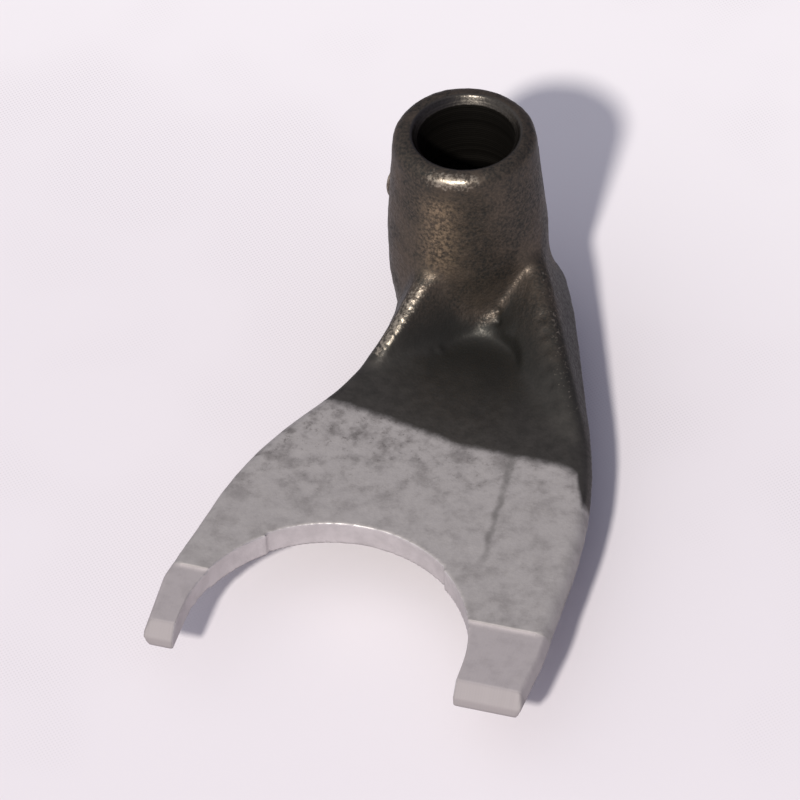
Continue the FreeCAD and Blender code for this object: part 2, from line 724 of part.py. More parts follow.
def relief(sketch):
    """Shallow segment that leaves the middle of the claw arc forged."""
    size = number("claw_radius + relief_depth")
    half = math.radians(val("relief_angle"))
    centre = V(0, number("-claw_reach"), 0)
    start = centre + V(size * math.sin(half), size * math.cos(half), 0)
    stop = centre + V(-size * math.sin(half), size * math.cos(half), 0)
    sketch.addGeometry(Part.Arc(start, centre + V(0, size, 0), stop))
    sketch.addGeometry(Part.LineSegment(stop, start))
    sketch.addConstraint(Sketcher.Constraint("Coincident", 0, 2, 1, 1))
    sketch.addConstraint(Sketcher.Constraint("Coincident", 1, 2, 0, 1))
    sketch.addConstraint(Sketcher.Constraint("Horizontal", 1))
    fix(sketch, 0, 3, "0", "-claw_reach")
    limit(sketch, "Radius", 0, "claw_radius + relief_depth")
    hold_x(sketch, 0, 1, "(claw_radius + relief_depth) * sin(relief_angle * 1 deg)")


def shift_fork():
    """The whole fork as one solid."""
    arm = forged_arm(arm_blank())
    web = doc.addObject("Part::MultiFuse", "WebAndFoot")
    web.Shapes = [arm, foot_fillet("FootFillet", "foot_round", "0", "foot_sink", False),
                  foot_fillet("HeelFillet", "heel_round", "-thick", "heel_sink", True)]
    solid_of(web)
    dished = doc.addObject("Part::Cut", "WebDished")
    dished.Base = web
    dished.Tool = dish_cutter()
    solid_of(dished)
    whole = doc.addObject("Part::MultiFuse", "ForkBlank")
    whole.Shapes = [boss_blank(), dished, guide_pin()]
    solid_of(whole)
    bored = doc.addObject("Part::Cut", "ForkBored")
    bored.Base = whole
    bored.Tool = bore_cutter()
    solid_of(bored)
    return machined_claw(bored)


fork = shift_fork()
for obj in doc.Objects:
    if "Invalid" in obj.State or "Error" in obj.State:
        raise RuntimeError("%s failed: %s" % (obj.Label, obj.State))
if fork.Shape.isNull() or not fork.Shape.isValid():
    raise RuntimeError("the fork is not a valid shape")
os.makedirs("parts", exist_ok=True)
fork.Shape.exportStep("parts/%s.step" % NODE)
box = fork.Shape.BoundBox
print("%s: volume %.1f mm3, box %.1f x %.1f x %.1f mm" % (
    NODE, fork.Shape.Volume, box.XLength, box.YLength, box.ZLength))
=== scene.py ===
"""Looks of a forged shift fork: a dark scaled boss and web, a blasted arm and ground finger pads."""
import math
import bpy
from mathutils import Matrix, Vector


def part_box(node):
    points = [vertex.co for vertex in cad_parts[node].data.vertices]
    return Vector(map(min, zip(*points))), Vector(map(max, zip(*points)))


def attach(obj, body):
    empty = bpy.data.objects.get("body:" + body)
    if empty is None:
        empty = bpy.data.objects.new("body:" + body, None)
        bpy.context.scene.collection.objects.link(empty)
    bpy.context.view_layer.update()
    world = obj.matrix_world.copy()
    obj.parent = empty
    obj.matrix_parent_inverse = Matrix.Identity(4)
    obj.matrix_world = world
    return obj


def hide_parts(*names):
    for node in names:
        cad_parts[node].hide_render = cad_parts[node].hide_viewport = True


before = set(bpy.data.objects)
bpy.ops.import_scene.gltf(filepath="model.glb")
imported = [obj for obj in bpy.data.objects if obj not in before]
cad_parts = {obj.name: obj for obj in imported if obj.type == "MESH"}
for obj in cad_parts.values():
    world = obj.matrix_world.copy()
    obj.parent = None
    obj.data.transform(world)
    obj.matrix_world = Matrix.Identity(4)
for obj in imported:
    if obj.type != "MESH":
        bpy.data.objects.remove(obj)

from types import SimpleNamespace

import bmesh
import bpy
import numpy as np
from bpy.props import FloatProperty, FloatVectorProperty, IntProperty, PointerProperty
from mathutils import Matrix, Vector

bl_info = {
    "name": "Shift Fork",
    "version": (1, 0, 0),
    "blender": (4, 5, 0),
    "location": "3D View > Sidebar > Shift Fork",
    "description": "Forged skin, steel finishes and stage of a shift fork",
    "category": "Object",
}

NODE = "shift_fork"
MM = 0.001

# Sizes are in millimetres and angles in degrees. The rail bore is on the Z axis, the claw towards -Y and
# the arm's upper face level with the origin. A pair says where something begins and where it is full.
CLAW_CENTRE = (0.0, -63.76)
CLAW_RADIUS = 17.3
# Where the ground pads and the bevelled finger ends begin, and how sharply.
PAD_LINE = -57.36
PAD_EDGE = 0.06
TIP_LINE = -66.46
TIP_EDGE = 0.1
# Radius of the bore's countersunk mouth, and the height of the upper one.
MOUTH_RADIUS = 6.95
UPPER_MOUTH = (21.7, 22.0)
# Distance over which the forged skin begins beside the bore and the pads, and beside the claw's wall.
SKIN_FADE = (0.1, 0.8)
CLAW_FADE = (0.45, 1.0)
# The claw's milled wall: how far it lies outside the claw's radius, and how far its normal leans up.
CLAW_WALL_DEPTH = (0.6, 0.4)
CLAW_WALL_SLOPE = (0.8, 0.4)
# Share of a crease that a pass fills, share of an unevenness that a pass takes off, and passes that find
# what stands out.
FILL_SHARE = 0.9
RELAX_SHARE = 0.5
CALM_ROUNDS = 3
# Small forms of the web and the ribs: place, radius and height, with a lip around the dish, a notch in
# it, a swelling on the right rib's head and a groove along its inner flank.
SMALL_FORMS = (
    (2.4, -11.0, 1.2, 1.2, 0.12), (3.8, -10.7, 0.9, 1.2, 0.14), (5.2, -10.6, 0.6, 1.1, 0.14),
    (8.0, -11.3, 1.4, 1.2, 0.16), (6.3, -10.0, 1.3, 0.45, -0.42), (6.1, -9.1, 2.2, 0.4, -0.35),
    (8.85, -5.08, 7.65, 1.4, 0.35),
    (0.3, -15.1, -0.1, 0.5, 0.15), (-1.0, -15.9, 0.0, 0.4, 0.12),
    (12.6, -11.3, 4.8, 0.8, -0.22), (13.4, -13.2, 4.0, 0.8, -0.25), (14.2, -15.1, 3.3, 0.8, -0.25),
    (14.9, -17.0, 2.6, 0.8, -0.25), (15.7, -19.2, 2.1, 0.8, -0.22), (16.5, -21.4, 1.6, 0.8, -0.18),
)
# The coarse grain is on whatever rises above the web and on all of the boss: heights and distances from
# the bore's axis, first for the mesh and then for its finish.
COARSE_RISE = (0.5, 5.0)
COARSE_REACH = (12.0, 10.3)
COARSE_LOOK_RISE = (1.0, 8.0)
COARSE_LOOK_REACH = (12.0, 10.4)
# Depth of the finish's grain on the web and on the boss, and the heights where the boss's end is calmer.
SKIN_GRAIN_DEPTH = (0.02, 0.055)
SMOOTH_END = (18.5, 21.0)
# Painted highlight stripe on the boss, a gold-coloured column where the light's glint falls: its side,
# counted from the claw to the right, its width, and the heights of its two ends.
HIGHLIGHT_STRIPE_SIDE = -6.0
HIGHLIGHT_STRIPE_WIDTH = 14.0
STRIPE_FOOT = (6.0, 11.0)
STRIPE_TOP = (21.0, 18.0)
# Crests where steel shows through the scale, partly real wear and partly a painted highlight: they begin
# above the web, the boss's upper rim has them only around its glint as a painted highlight, and they are
# fainter on the right rib.
CREST_FOOT = (0.2, 1.2)
CREST_GAIN = 0.8
UPPER_RIM = (14.0, 17.0)
RIM_SHEEN_GAIN = 0.35
GLINT_SIDE = 3.0
GLINT_WIDTH = 32.2
RIGHT_RIB = (4.0, 8.0)
RIGHT_RIB_LOSS = 0.35
# Edge of the dark scale across the arm, as x and y from the left edge to the right one, how sharply the
# scale begins there, and over what distance it fades towards it.
SCALE_EDGE_X = (-11.0, -3.6, 7.0, 20.4, 22.4, 24.2)
SCALE_EDGE_Y = (-26.8, -28.0, -30.3, -30.6, -31.6, -36.0)
SCALE_START = (-1.0, 1.0)
SCALE_FADE = (17.0, 0.5)
# Dirt of the blasted arm: how far beyond the scale's edge it reaches, and how that slants across the arm.
DIRT_FADE = (-16.0, 2.0)
DIRT_SLANT = 0.35
# Faint stain along the arm: its place across the arm, its slant, its half width from nothing to full, and
# where its far end fades in.
STREAK_X = 12.3
STREAK_SLOPE = 0.06
STREAK_WIDTH = (0.8, 0.05)
STREAK_END = (-53.0, -42.0)
# Shares of the colours that lie over others: worn crests with painted highlight, warm patches and the
# stain.
BARE_AND_SHEEN_SHARE = 0.65
WARM_SHARE = 0.45
STAIN_SHARE = 0.75
# Sizes of the finish's patterns: grains of the worn crests and of the painted highlight stripe, ragged
# edges and warm patches of the scale.
WEAR_AND_SHEEN_GRAIN = 0.45
RAGGED_SIZE = 1.6
WARM_PATCH = 5.0
# Cloth on the floor: pitch of its threads, size of the patches where they show, where along Y a painted
# light makes it paler, and the power that makes its colour paler there.
WEAVE_PITCH = 0.6
WEAVE_PATCH = 45.0
FLOOR_PAINTED_LIGHT = (-20.0, 60.0)
FLOOR_PAINTED_LIGHT_TONE = 0.74
FLOOR_SIDES = 96
# Width of the camera's sensor.
SENSOR_WIDTH = 36.0
# Numbers of a Mix node's sockets: its factor and the two things that it mixes, and what comes out.
MIX_COLOURS = (0, 6, 7)
MIX_COLOUR_RESULT = 2
MIX_NUMBERS = (0, 2, 3)
MIX_NUMBER_RESULT = 0


class SkinSettings(bpy.types.PropertyGroup):
    """Sizes of the forged skin."""

    voxel: FloatProperty(
        name="Mesh Size", description="Edge length of the skin's mesh",
        default=0.31 * MM, min=0.1 * MM, precision=6, unit="LENGTH")
    crease_rounds: IntProperty(
        name="Crease Rounds", description="Passes that fill the inner corners into soft forged blends",
        default=45, min=0)
    relax_rounds: IntProperty(
        name="Relax Rounds", description="Passes that even out the forged surface", default=10, min=0)
    dent_size: FloatProperty(
        name="Dent Size", description="Width of the shallow waves of the forging",
        default=3.2 * MM, precision=6, unit="LENGTH")
    dent_depth: FloatProperty(
        name="Dent Depth", description="Height of the shallow waves of the forging",
        default=0.13 * MM, precision=6, unit="LENGTH")
    grain_size: FloatProperty(
        name="Grain Size", description="Width of the coarse grain of the scale",
        default=0.75 * MM, precision=6, unit="LENGTH")
    grain_depth: FloatProperty(
        name="Grain Depth", description="Height of the coarse grain of the scale",
        default=0.1 * MM, precision=6, unit="LENGTH")


class FinishSettings(bpy.types.PropertyGroup):
    """Colours of the steel."""

    scale_dark: FloatVectorProperty(
        name="Scale, Dark", description="Darkest tone of the forging scale",
        default=(0.029, 0.0285, 0.0262), subtype="COLOR", min=0, max=1)
    scale_brown: FloatVectorProperty(
        name="Scale, Brown", description="Brownish tone of the forging scale",
        default=(0.11, 0.084, 0.065), subtype="COLOR", min=0, max=1)
    scale_faded: FloatVectorProperty(
        name="Scale, Faded", description="Greyer tone of the scale next to the blasted arm",
        default=(0.090, 0.081, 0.073), subtype="COLOR", min=0, max=1)
    # Colour of the painted highlight stripe on the boss, a glint painted into the scale.
    painted_highlight_gold: FloatVectorProperty(
        name="Scale, Golden", description="Golden grains of the stripe where the boss is rubbed",
        default=(0.31, 0.225, 0.15), subtype="COLOR", min=0, max=1)
    # Also the colour of the painted highlight on the crests and around the upper rim's glint.
    bare_steel_and_sheen: FloatVectorProperty(
        name="Bare Steel", description="Steel where the scale is rubbed off",
        default=(0.50, 0.43, 0.35), subtype="COLOR", min=0, max=1)
    blasted_light: FloatVectorProperty(
        name="Blasted, Light", description="Light tone of the blasted arm",
        default=(0.378, 0.352, 0.346), subtype="COLOR", min=0, max=1)
    blasted_dark: FloatVectorProperty(
        name="Blasted, Dark", description="Dark tone of the blasted arm",
        default=(0.17, 0.156, 0.152), subtype="COLOR", min=0, max=1)
    stain: FloatVectorProperty(
        name="Stain", description="Faint dark stain that runs along the blasted arm",
        default=(0.15, 0.14, 0.135), subtype="COLOR", min=0, max=1)
    ground_steel: FloatVectorProperty(
        name="Ground Steel", description="Ground pads and finger ends",
        default=(0.37, 0.335, 0.34), subtype="COLOR", min=0, max=1)
    cut_steel: FloatVectorProperty(
        name="Cut Steel", description="Wall of the claw arc",
        default=(0.55, 0.515, 0.52), subtype="COLOR", min=0, max=1)
    # Darkened to paint the shade inside the bore.
    bored_steel_painted_shade: FloatVectorProperty(
        name="Bored Steel", description="Turned wall of the rail bore",
        default=(0.09, 0.08, 0.07), subtype="COLOR", min=0, max=1)


class StageSettings(bpy.types.PropertyGroup):
    """Camera, floor and light."""

    camera_place: FloatVectorProperty(
        name="Camera Place", description="Where the camera stands",
        default=(0.14730, -0.46231, 0.47457), subtype="XYZ", unit="LENGTH", precision=5)
    camera_aim: FloatVectorProperty(
        name="Camera Aim", description="Point that the camera looks at",
        default=(-0.00196, -0.02477, 0.0), subtype="XYZ", unit="LENGTH", precision=5)
    camera_roll: FloatProperty(
        name="Camera Roll", description="Turn of the camera about its own axis",
        default=math.radians(-3.105), subtype="ANGLE")
    camera_lens: FloatProperty(
        name="Focal Length", description="Focal length in millimetres on a 36 mm sensor", default=243.0)
    light_travel: FloatVectorProperty(
        name="Light Travel", description="Direction in which the main light travels",
        default=(0.015, 0.775, -0.66), subtype="XYZ")
    light_strength: FloatProperty(
        name="Light Strength", description="Strength of the main light", default=3.4, min=0)
    light_colour: FloatVectorProperty(
        name="Light Colour", description="Colour of the main light",
        default=(1.0, 0.965, 0.90), subtype="COLOR", min=0, max=1)
    light_angle: FloatProperty(
        name="Light Angle", description="Apparent width of the main light, for soft shadow edges",
        default=math.radians(4.0), subtype="ANGLE")
    sky_bright: FloatVectorProperty(
        name="Sky, Bright Side", description="Soft light where the sky is brightest",
        default=(0.68, 0.685, 0.74), subtype="COLOR", min=0, max=1)
    sky_dim: FloatVectorProperty(
        name="Sky, Dim Side", description="Soft light on the far side of the sky",
        default=(0.185, 0.19, 0.265), subtype="COLOR", min=0, max=1)
    sky_side: FloatVectorProperty(
        name="Sky Side", description="Direction of the brightest part of the sky",
        default=(-0.66, -0.42, 0.62), subtype="XYZ")
    floor_colour: FloatVectorProperty(
        name="Floor Colour", description="Pale cloth under the fork",
        default=(0.765, 0.72, 0.755), subtype="COLOR", min=0, max=1)
    floor_height: FloatProperty(
        name="Floor Height", description="Height of the floor, on which the boss stands",
        default=-11.0 * MM, unit="LENGTH", precision=5)
    floor_radius: FloatProperty(
        name="Floor Radius", description="Radius of the floor", default=1.6, unit="LENGTH")


def apply_modifiers(obj):
    """Puts the modifiers of an object into its mesh."""
    graph = bpy.context.evaluated_depsgraph_get()
    graph.update()
    mesh = bpy.data.meshes.new_from_object(obj.evaluated_get(graph))
    old = obj.data
    obj.modifiers.clear()
    obj.data = mesh
    mesh.name = obj.name
    bpy.data.meshes.remove(old)


def vertex_places(mesh):
    """Vertex places in millimetres."""
    co = np.empty(len(mesh.vertices) * 3)
    mesh.vertices.foreach_get("co", co)
    return co.reshape(-1, 3) / MM


def set_places(mesh, points):
    """Moves the vertices to places in millimetres."""
    mesh.vertices.foreach_set("co", (points * MM).ravel())
    mesh.update()


def edge_pairs(mesh):
    """Vertex numbers of each edge."""
    pairs = np.empty(len(mesh.edges) * 2, dtype=np.int64)
    mesh.edges.foreach_get("vertices", pairs)
    return pairs.reshape(-1, 2)


def neighbour_mean(points, pairs):
    """Mean of the neighbours of each vertex."""
    count = len(points)
    both = np.concatenate((pairs, pairs[:, ::-1]))
    number = np.maximum(np.bincount(both[:, 0], minlength=count), 1)
    columns = [np.bincount(both[:, 0], weights=points[both[:, 1], k], minlength=count) / number
               for k in range(points.shape[1])]
    return np.stack(columns, axis=1)


def vertex_normals(mesh):
    """Normals of the vertices as they stand."""
    normals = np.empty(len(mesh.vertices) * 3)
    mesh.vertices.foreach_get("normal", normals)
    return normals.reshape(-1, 3)


def step(value, low, high):
    """Smooth rise from 0 at low to 1 at high."""
    share = np.clip((value - low) / (high - low), 0.0, 1.0)
    return share * share * (3.0 - 2.0 * share)


def forged_share(points):
    """1 on forged skin, 0 on the bored, ground and cut faces."""
    x, y = points[:, 0], points[:, 1]
    from_bore = np.hypot(x, y) - MOUTH_RADIUS
    from_claw = np.hypot(x - CLAW_CENTRE[0], y - CLAW_CENTRE[1]) - CLAW_RADIUS
    return step(from_bore, *SKIN_FADE) * step(from_claw, *CLAW_FADE) * step(y - PAD_LINE, *SKIN_FADE)


def scale_distance(points):
    """Distance in millimetres from the edge of the dark scale, positive on the dark side."""
    line = np.interp(points[:, 0], SCALE_EDGE_X, SCALE_EDGE_Y)
    return points[:, 1] - line


def merged_copy(name, source):
    """New object with the source's mesh, its doubled vertices merged."""
    mesh = source.data.copy()
    mesh.name = name
    work = bmesh.new()
    work.from_mesh(mesh)
    bmesh.ops.remove_doubles(work, verts=work.verts, dist=0.001 * MM)
    work.to_mesh(mesh)
    work.free()
    mesh.materials.clear()
    obj = bpy.data.objects.new(name, mesh)
    bpy.context.scene.collection.objects.link(obj)
    return obj


def remesh(obj, source, size):
    """Even mesh of small squares, laid back on the source's surface."""
    modifier = obj.modifiers.new("Even Mesh", "REMESH")
    modifier.mode = "VOXEL"
    modifier.voxel_size = size
    wrap = obj.modifiers.new("Lay On", "SHRINKWRAP")
    wrap.target = source
    wrap.wrap_method = "NEAREST_SURFACEPOINT"
    apply_modifiers(obj)


def fill_creases(mesh, rounds):
    """Raises the inner corners of the forged skin and leaves the crests."""
    pairs = edge_pairs(mesh)
    points = vertex_places(mesh)
    share = forged_share(points)
    for _ in range(rounds):
        normals = vertex_normals(mesh)
        hollow = np.einsum("ij,ij->i", neighbour_mean(points, pairs) - points, normals)
        points += (np.maximum(hollow, 0.0) * share * FILL_SHARE)[:, None] * normals
        set_places(mesh, points)


def relax(mesh, rounds):
    """Evens out the forged skin."""
    pairs = edge_pairs(mesh)
    points = vertex_places(mesh)
    share = forged_share(points)[:, None]
    for _ in range(rounds):
        points += (neighbour_mean(points, pairs) - points) * share * RELAX_SHARE
    set_places(mesh, points)


def roughen(obj, settings):
    """Gives the forged skin its shallow waves and the scale its coarse grain."""
    points = vertex_places(obj.data)
    x, y, z = points.T
    forged = forged_share(points)
    raised = np.maximum(step(z, *COARSE_RISE), step(np.hypot(x, y), *COARSE_REACH))
    scaled = forged * raised * step(scale_distance(points), *SCALE_START)
    rows = (("Dents", forged, settings.dent_size, settings.dent_depth, 2),
            ("Grain", scaled, settings.grain_size, settings.grain_depth, 3))
    for name, share, size, depth, detail in rows:
        weights = obj.vertex_groups.new(name=name)
        for number, weight in enumerate(share.tolist()):
            weights.add((number,), weight, "REPLACE")
        clouds = bpy.data.textures.new("Forging " + name, "CLOUDS")
        clouds.noise_scale = size
        clouds.noise_depth = detail
        modifier = obj.modifiers.new(name, "DISPLACE")
        modifier.texture = clouds
        modifier.texture_coords = "LOCAL"
        modifier.vertex_group = name
        modifier.strength = depth
        modifier.mid_level = 0.5
    apply_modifiers(obj)
    obj.vertex_groups.clear()


def keep_inside(mesh, name):
    """Holds the skin inside the box of the frame's node of that name."""
    low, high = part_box(name)
    points = vertex_places(mesh)
    set_places(mesh, np.clip(points, np.array(low) / MM, np.array(high) / MM))


def store(mesh, name, values):
    """Writes a value for each vertex."""
    layer = mesh.attributes.new(name, "FLOAT", "POINT")
    layer.data.foreach_set("value", values.astype(np.float32))


def press(mesh):
    """Raises and sinks the small forms of the web and the ribs."""
    points = vertex_places(mesh)
    normals = vertex_normals(mesh)
    for (*centre, radius, height) in SMALL_FORMS:
        near = np.exp(-((points - centre) ** 2).sum(axis=1) / radius ** 2)
        points += (height * near)[:, None] * normals
    set_places(mesh, points)


def proudness(points, pairs, normals):
    """How far each vertex stands out of its surroundings, evened out a little."""
    calm = points
    for _ in range(CALM_ROUNDS):
        calm = neighbour_mean(calm, pairs)
    proud = np.einsum("ij,ij->i", points - calm, normals)[:, None]
    for _ in range(CALM_ROUNDS):
        proud = neighbour_mean(proud, pairs)
    return proud[:, 0]


def mark(mesh):
    """Stores the distance to the scale's edge, the worn crests with their painted highlight, the painted
    highlight stripe and the claw's wall.
    """
    points = vertex_places(mesh)
    normals = vertex_normals(mesh)
    x, y, z = points.T
    side = np.degrees(np.arctan2(x, -y))
    upper = step(z, *UPPER_RIM)
    # On the upper rim the worn crests' colour stays only around the glint: a painted highlight.
    away_from_glint = 1.0 - np.exp(-((side - GLINT_SIDE) / GLINT_WIDTH) ** 2)
    crest_wear_and_sheen = proudness(points, edge_pairs(mesh), normals) * step(z, *CREST_FOOT)
    crest_wear_and_sheen *= (1.0 - upper * away_from_glint) * (1.0 - RIGHT_RIB_LOSS * step(x, *RIGHT_RIB))
    crest_wear_and_sheen *= CREST_GAIN + RIM_SHEEN_GAIN * upper
    # Painted highlight: a stripe on the boss where the light's glint falls.
    stripe = np.exp(-((side - HIGHLIGHT_STRIPE_SIDE) / HIGHLIGHT_STRIPE_WIDTH) ** 2)
    stripe *= step(z, *STRIPE_FOOT) * step(z, *STRIPE_TOP)
    from_claw = np.hypot(x - CLAW_CENTRE[0], y - CLAW_CENTRE[1]) - CLAW_RADIUS
    wall = step(from_claw, *CLAW_WALL_DEPTH) * step(np.abs(normals[:, 2]), *CLAW_WALL_SLOPE)
    store(mesh, "scale_distance", scale_distance(points))
    store(mesh, "crest_wear_and_sheen", crest_wear_and_sheen * forged_share(points))
    store(mesh, "painted_highlight_stripe", stripe)
    store(mesh, "claw_wall", wall)


def node(tree, kind, inputs=None, **values):
    """New node with its settings and its inputs, which are numbers, colours or sockets."""
    made = tree.nodes.new(kind)
    for key, value in values.items():
        setattr(made, key, value)
    for key, value in (inputs or {}).items():
        socket = made.inputs[key]
        if isinstance(value, bpy.types.NodeSocket):
            tree.links.new(value, socket)
        else:
            socket.default_value = value
    return made


def calc(tree, operation, first, second=0.0):
    """Result of a Math node."""
    return node(tree, "ShaderNodeMath", {0: first, 1: second}, operation=operation).outputs[0]


def rise(tree, value, low, high, bottom=0.0, top=1.0):
    """Result of a smooth Map Range node."""
    return node(tree, "ShaderNodeMapRange",
                {"Value": value, "From Min": low, "From Max": high, "To Min": bottom, "To Max": top},
                interpolation_type="SMOOTHSTEP").outputs["Result"]


def blend(tree, share, first, second):
    """Colour between two colours."""
    inputs = dict(zip(MIX_COLOURS, (share, first, second)))
    return node(tree, "ShaderNodeMix", inputs, data_type="RGBA").outputs[MIX_COLOUR_RESULT]


def between(tree, share, first, second):
    """Number between two numbers."""
    inputs = dict(zip(MIX_NUMBERS, (share, first, second)))
    return node(tree, "ShaderNodeMix", inputs, data_type="FLOAT").outputs[MIX_NUMBER_RESULT]


def scaled_noise(tree, vector, scale, detail, roughness):
    """Noise of a scale in features per metre."""
    return node(tree, "ShaderNodeTexNoise",
                {"Vector": vector, "Scale": scale, "Detail": detail,
                 "Roughness": roughness}).outputs["Fac"]


def noise(tree, vector, size, detail=3.0, roughness=0.55):
    """Noise with features of a size in millimetres."""
    return scaled_noise(tree, vector, 1.0 / (size * MM), detail, roughness)


def group(name, inputs, outputs):
    """New shader node group with named sockets."""
    tree = bpy.data.node_groups.new(name, "ShaderNodeTree")
    for label, kind, default in inputs:
        socket = tree.interface.new_socket(name=label, in_out="INPUT", socket_type="NodeSocket" + kind)
        if default is not None:
            socket.default_value = default
    for label, kind in outputs:
        tree.interface.new_socket(name=label, in_out="OUTPUT", socket_type="NodeSocket" + kind)
    return tree, tree.nodes.new("NodeGroupInput").outputs, tree.nodes.new("NodeGroupOutput").inputs


def fed(tree, made, inputs):
    """Outputs of a group placed in a tree, with its inputs set."""
    return node(tree, "ShaderNodeGroup", inputs, node_tree=made).outputs


def colour(value):
    """Colour with full alpha."""
    return (*value, 1.0)


def shaded(value, factor):
    """Colour made darker or lighter by a factor."""
    return colour([c * factor for c in value])


def ragged_edge_group():
    """Mask that turns from 0 to 1 along a ragged line, from a distance in millimetres."""
    tree, given, out = group(
        "Ragged Edge",
        (("Vector", "Vector", None), ("Distance", "Float", 0.0), ("Ragged", "Float", 0.5),
         ("Softness", "Float", 0.3)),
        (("Mask", "Float"),))
    wander = calc(tree, "SUBTRACT", noise(tree, given["Vector"], RAGGED_SIZE, 5.0, 0.65), 0.5)
    moved = calc(tree, "ADD", given["Distance"], calc(tree, "MULTIPLY", wander, given["Ragged"]))
    tree.links.new(rise(tree, moved, calc(tree, "MULTIPLY", given["Softness"], -1.0), given["Softness"]),
                   out["Mask"])
    return tree


def rubbed_crest_group():
    """Mask of crests where steel shows through, partly wear and partly painted highlight, broken up by
    grain.
    """
    tree, given, out = group(
        "Rubbed Crest",
        (("Vector", "Vector", None), ("Crest", "Float", 0.0), ("Start", "Float", 0.02),
         ("Full", "Float", 0.042), ("Break Up", "Float", 0.065)),
        (("Mask", "Float"),))
    specks = calc(tree, "SUBTRACT", noise(tree, given["Vector"], WEAR_AND_SHEEN_GRAIN, 4.0, 0.6), 0.5)
    moved = calc(tree, "ADD", given["Crest"], calc(tree, "MULTIPLY", specks, given["Break Up"]))
    tree.links.new(rise(tree, moved, given["Start"], given["Full"]), out["Mask"])
    return tree


def grain_group():
    """Fine pits and grains: a height in millimetres and a speckle from 0 to 1."""
    tree, given, out = group(
        "Steel Grain",
        (("Vector", "Vector", None), ("Scale", "Float", 2500.0), ("Depth", "Float", 0.02),
         ("Detail", "Float", 3.0)),
        (("Height", "Float"), ("Speckle", "Float")))
    fine = scaled_noise(tree, given["Vector"], given["Scale"], given["Detail"], 0.6)
    cells = node(tree, "ShaderNodeTexVoronoi",
                 {"Vector": given["Vector"], "Scale": given["Scale"], "Randomness": 1.0},
                 feature="F1").outputs["Distance"]
    height = calc(tree, "ADD", fine, calc(tree, "MULTIPLY", cells, 0.5))
    tree.links.new(calc(tree, "MULTIPLY", height, given["Depth"]), out["Height"])
    tree.links.new(rise(tree, fine, 0.3, 0.7), out["Speckle"])
    return tree


def tool_mark_group():
    """Lines that a tool leaves across a coordinate in millimetres: a height and a shade."""
    tree, given, out = group(
        "Tool Marks",
        (("Vector", "Vector", None), ("Across", "Float", 0.0), ("Pitch", "Float", 0.3),
         ("Depth", "Float", 0.01)),
        (("Height", "Float"), ("Shade", "Float")))
    wander = calc(tree, "MULTIPLY", noise(tree, given["Vector"], 4.0, 2.0), 0.25)
    place_across = calc(tree, "ADD", given["Across"], wander)
    turns = calc(tree, "DIVIDE", place_across, given["Pitch"])
    wave = calc(tree, "SINE", calc(tree, "MULTIPLY", turns, 2.0 * math.pi))
    uneven = node(tree, "ShaderNodeTexNoise",
                  {"W": turns, "Scale": 0.37, "Detail": 4.0}, noise_dimensions="1D").outputs["Fac"]
    lines = calc(tree, "MULTIPLY", wave, uneven)
    tree.links.new(calc(tree, "MULTIPLY", lines, given["Depth"]), out["Height"])
    tree.links.new(calc(tree, "ADD", calc(tree, "MULTIPLY", lines, 0.5), uneven), out["Shade"])
    return tree


def mottle_group():
    """Cloudy mix of two colours with small dark specks."""
    tree, given, out = group(
        "Mottle",
        (("Vector", "Vector", None), ("Light", "Color", (1, 1, 1, 1)), ("Dark", "Color", (0, 0, 0, 1)),
         ("Cloud Scale", "Float", 300.0), ("Speck Scale", "Float", 1500.0), ("Specks", "Float", 0.5)),
        (("Color", "Color"), ("Speck", "Float")))
    cloud = scaled_noise(tree, given["Vector"], given["Cloud Scale"], 5.0, 0.6)
    speck = scaled_noise(tree, given["Vector"], given["Speck Scale"], 6.0, 0.75)
    spots = calc(tree, "MULTIPLY", rise(tree, speck, 0.55, 0.72), given["Specks"])
    dust = calc(tree, "MULTIPLY", rise(tree, speck, 0.3, 0.7), 0.2)
    clouds = calc(tree, "MULTIPLY", rise(tree, cloud, 0.4, 0.75), 0.42)
    smudges = calc(tree, "MULTIPLY", rise(tree, cloud, 0.45, 0.65),
                   calc(tree, "MULTIPLY", given["Specks"], 0.45))
    share = calc(tree, "ADD", calc(tree, "ADD", clouds, dust), calc(tree, "ADD", spots, smudges))
    tree.links.new(blend(tree, share, given["Light"], given["Dark"]), out["Color"])
    tree.links.new(spots, out["Speck"])
    return tree


def attribute(tree, name):
    """Number stored in the mesh."""
    return node(tree, "ShaderNodeAttribute", attribute_name=name).outputs["Fac"]


def empty_material(name):
    """New material and its empty node tree."""
    material = bpy.data.materials.new(name)
    material.use_nodes = True
    material.node_tree.nodes.clear()
    return material, material.node_tree


def fork_places(tree):
    """Coordinates and distances in millimetres, and the masks that several finishes share."""
    vector = node(tree, "ShaderNodeTexCoord").outputs["Object"]
    parts = node(tree, "ShaderNodeSeparateXYZ", {"Vector": vector}).outputs
    x, y, z = (calc(tree, "DIVIDE", parts[k], MM) for k in range(3))
    squares = calc(tree, "ADD", calc(tree, "MULTIPLY", x, x), calc(tree, "MULTIPLY", y, y))
    from_axis = calc(tree, "SQRT", squares)
    raised = calc(tree, "MAXIMUM", rise(tree, z, *COARSE_LOOK_RISE),
                  rise(tree, from_axis, *COARSE_LOOK_REACH))
    return SimpleNamespace(
        vector=vector, x=x, y=y, z=z, from_axis=from_axis, raised=raised,
        from_line=attribute(tree, "scale_distance"), smooth_end=rise(tree, z, *SMOOTH_END))


